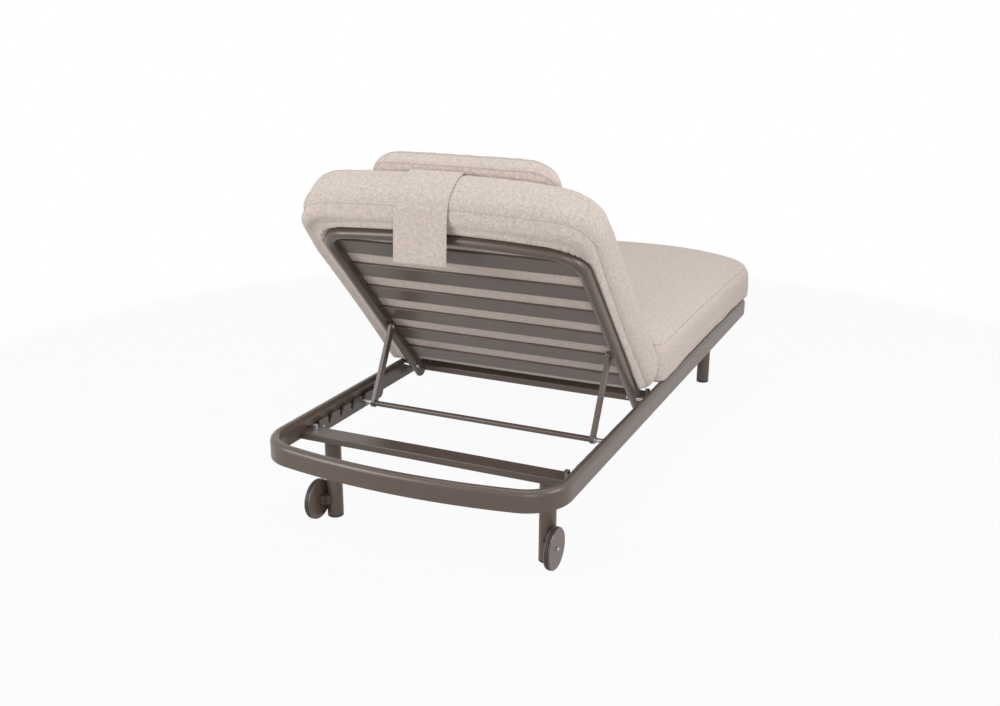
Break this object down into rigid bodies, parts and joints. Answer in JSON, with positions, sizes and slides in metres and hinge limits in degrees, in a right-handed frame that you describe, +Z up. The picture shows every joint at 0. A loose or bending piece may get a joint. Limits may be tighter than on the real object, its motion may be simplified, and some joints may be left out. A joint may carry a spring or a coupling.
{
  "type": "sun_lounger",
  "caption": "Sun lounger with a rounded aluminium ring frame, slatted adjustable back on a toothed prop, thick fabric cushions, head pillow with a weighted strap and small transport wheels",
  "frame": {"origin": "On the floor under the middle of the base ring, halfway between its foot and head ends.", "axes": "X across the lounger, +Y towards the head end, +Z up."},
  "size_m": [0.788, 2, 0.9385],
  "materials": {
    "taupe_frame": "fine-textured powder coat, satin",
    "sand_fabric": "woven outdoor fabric, fine diagonal texture",
    "bright_steel": "zinc-plated and stainless, satin",
    "black_plastic": "moulded, matte",
    "wheel_rubber": "matte rubber"
  },
  "bodies": {
    "base": {"base_ring": "taupe_frame", "head_cross_rail": "taupe_frame", "hinge_cross_rail": "taupe_frame", "foot_cross_rail": "taupe_frame", "cross_rail_bolts": "bright_steel", "leg_rear_left": "taupe_frame", "leg_rear_right": "taupe_frame", "leg_front_left": "taupe_frame", "leg_front_right": "taupe_frame", "leg_glides": "black_plastic", "seat_slat_1": "taupe_frame", "seat_slat_2": "taupe_frame", "seat_slat_3": "taupe_frame", "seat_slat_4": "taupe_frame", "seat_slat_5": "taupe_frame", "seat_slat_6": "taupe_frame", "seat_slat_7": "taupe_frame", "seat_slat_8": "taupe_frame", "seat_slat_9": "taupe_frame", "seat_slat_10": "taupe_frame", "hinge_pins": "bright_steel", "rack_left": "taupe_frame", "rack_right": "taupe_frame", "rack_screws": "bright_steel", "wheel_bracket_left": "taupe_frame", "wheel_bracket_right": "taupe_frame", "wheel_axles": "bright_steel", "seat_cushion": "sand_fabric"},
    "back": {"back_frame": "taupe_frame", "frame_end_caps": "black_plastic", "back_slat_1": "taupe_frame", "back_slat_2": "taupe_frame", "back_slat_3": "taupe_frame", "back_slat_4": "taupe_frame", "back_slat_5": "taupe_frame", "back_slat_6": "taupe_frame", "prop_pivot_bolts": "bright_steel", "back_cushion": "sand_fabric", "strap_band": "sand_fabric"},
    "prop": {"prop_bar_left": "taupe_frame", "prop_bar_right": "taupe_frame", "prop_rod": "taupe_frame", "prop_rod_pins": "bright_steel"},
    "pillow": {"pillow": "sand_fabric"},
    "strap_tail": {"strap_tail": "sand_fabric", "strap_weight": "bright_steel"},
    "wheel_left": {"wheel_left_inner_disc": "taupe_frame", "wheel_left_tyre": "wheel_rubber", "wheel_left_outer_disc": "taupe_frame"},
    "wheel_right": {"wheel_right_inner_disc": "taupe_frame", "wheel_right_tyre": "wheel_rubber", "wheel_right_outer_disc": "taupe_frame"}
  },
  "joints": [
    {"name": "back_hinge", "type": "hinge", "parent": "base", "child": "back", "pos_m": [0, 0.2544, 0.2555], "axis": [1, 0, 0], "range_deg": [-46.3, 0]},
    {"name": "prop_hinge", "type": "hinge", "parent": "back", "child": "prop", "pos_m": [0, 0.41123, 0.41961], "axis": [1, 0, 0], "range_deg": [0, 99.8]},
    {"name": "strap_hinge", "type": "hinge", "parent": "back", "child": "strap_tail", "pos_m": [0.037, 0.75293, 0.83073], "axis": [1, 0, 0], "range_deg": [0, 46.3]},
    {"name": "pillow_slide", "type": "slide", "parent": "back", "child": "pillow", "axis": [0, 0.6909, 0.723], "range_m": [-0.06, 0]},
    {"name": "wheel_left_axle", "type": "hinge", "parent": "base", "child": "wheel_left", "pos_m": [0.329, 0.797, 0.054], "axis": [1, 0, 0], "continuous": true},
    {"name": "wheel_right_axle", "type": "hinge", "parent": "base", "child": "wheel_right", "pos_m": [-0.329, 0.797, 0.054], "axis": [1, 0, 0], "continuous": true}
  ],
  "couplings": [
    {"joint": "prop_hinge", "follows": "back_hinge", "ratio": -2.1555},
    {"joint": "strap_hinge", "follows": "back_hinge", "ratio": -1}
  ]
}
